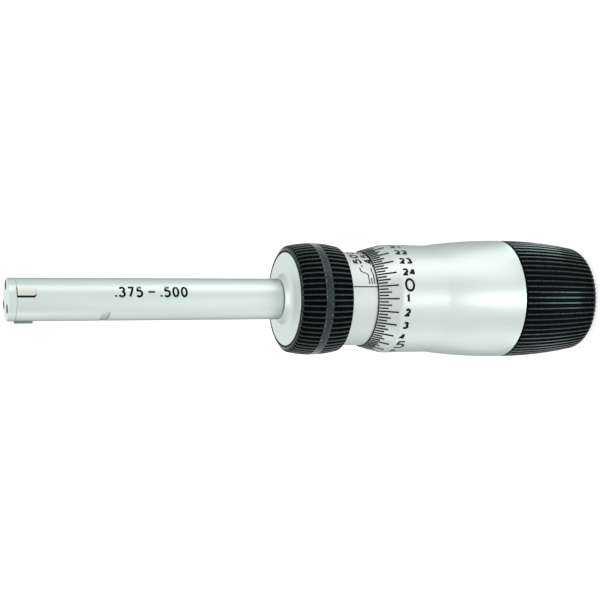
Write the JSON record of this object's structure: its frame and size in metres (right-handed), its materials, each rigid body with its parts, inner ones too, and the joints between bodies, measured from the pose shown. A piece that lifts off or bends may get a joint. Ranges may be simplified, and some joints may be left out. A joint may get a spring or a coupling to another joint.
{
  "type": "inside micrometer",
  "caption": "Three-point bore gauge: a slim measuring head with spreading anvils, a graduated sleeve and thimble, a fluted grip collar and a ratchet cap.",
  "frame": {"origin": "centre of the ratchet cap's flat end face, on which the tool stands", "axes": "+Z along the tool from the cap to the measuring tip; -Y is the side that carries the sleeve's datum line"},
  "size_m": [0.0282, 0.0282, 0.1397],
  "materials": {
    "satin_chrome": "satin chrome plate",
    "satin_steel": "fine ground, satin",
    "bright_steel": "ground and polished",
    "hard_alloy": "lapped hardened steel",
    "black_grip": "moulded, semi-matt",
    "bronze": "machined",
    "spring_steel": "drawn wire"
  },
  "bodies": {
    "frame": {"head_tube": "satin_steel", "nose_plate": "satin_steel", "nose_screw_1": "bright_steel", "nose_screw_2": "bright_steel", "nose_screw_3": "bright_steel", "rod_guide_bush": "bronze", "front_housing": "satin_chrome", "grip_collar": "black_grip", "sleeve": "satin_chrome", "inner_barrel": "satin_steel", "spindle_nut": "bronze", "adjusting_nut": "bright_steel"},
    "expander": {"expander_cone": "bright_steel", "push_rod": "bright_steel", "spring_seat": "bright_steel", "return_spring": "spring_steel", "thrust_ball": "bright_steel"},
    "thimble": {"thimble": "satin_chrome", "spindle": "bright_steel", "ratchet_stem": "bright_steel", "ratchet_disc": "bright_steel", "cap_screw": "bright_steel"},
    "ratchet_cap": {"ratchet_cap": "black_grip", "clutch_disc": "bright_steel", "ratchet_spring": "spring_steel"},
    "anvil_1": {"anvil_1": "hard_alloy"},
    "anvil_2": {"anvil_2": "hard_alloy"},
    "anvil_3": {"anvil_3": "hard_alloy"}
  },
  "joints": [
    {"name": "expander_slide", "type": "slide", "parent": "frame", "child": "expander", "axis": [0, 0, 1], "range_m": [-0.00127, 0.00191], "deforming": ["return_spring"]},
    {"name": "thimble_turn", "type": "hinge", "parent": "expander", "child": "thimble", "pos_m": [0, 0, 0.04], "axis": [0, 0, 1], "range_deg": [-720, 1080]},
    {"name": "cap_turn", "type": "hinge", "parent": "thimble", "child": "ratchet_cap", "pos_m": [0, 0, 0.01], "axis": [0, 0, 1], "continuous": true},
    {"name": "anvil_1_slide", "type": "slide", "parent": "frame", "child": "anvil_1", "axis": [0.3746, -0.9272, 0], "range_m": [-0.00064, 0.00095]},
    {"name": "anvil_2_slide", "type": "slide", "parent": "frame", "child": "anvil_2", "axis": [0.6157, 0.788, 0], "range_m": [-0.00064, 0.00095]},
    {"name": "anvil_3_slide", "type": "slide", "parent": "frame", "child": "anvil_3", "axis": [-0.9903, 0.1392, 0], "range_m": [-0.00064, 0.00095]}
  ],
  "couplings": [
    {"joint": "expander_slide", "follows": "thimble_turn", "m_per_rad": 0.00010106},
    {"joint": "anvil_1_slide", "follows": "thimble_turn", "m_per_rad": 0.000050532},
    {"joint": "anvil_2_slide", "follows": "thimble_turn", "m_per_rad": 0.000050532},
    {"joint": "anvil_3_slide", "follows": "thimble_turn", "m_per_rad": 0.000050532}
  ]
}
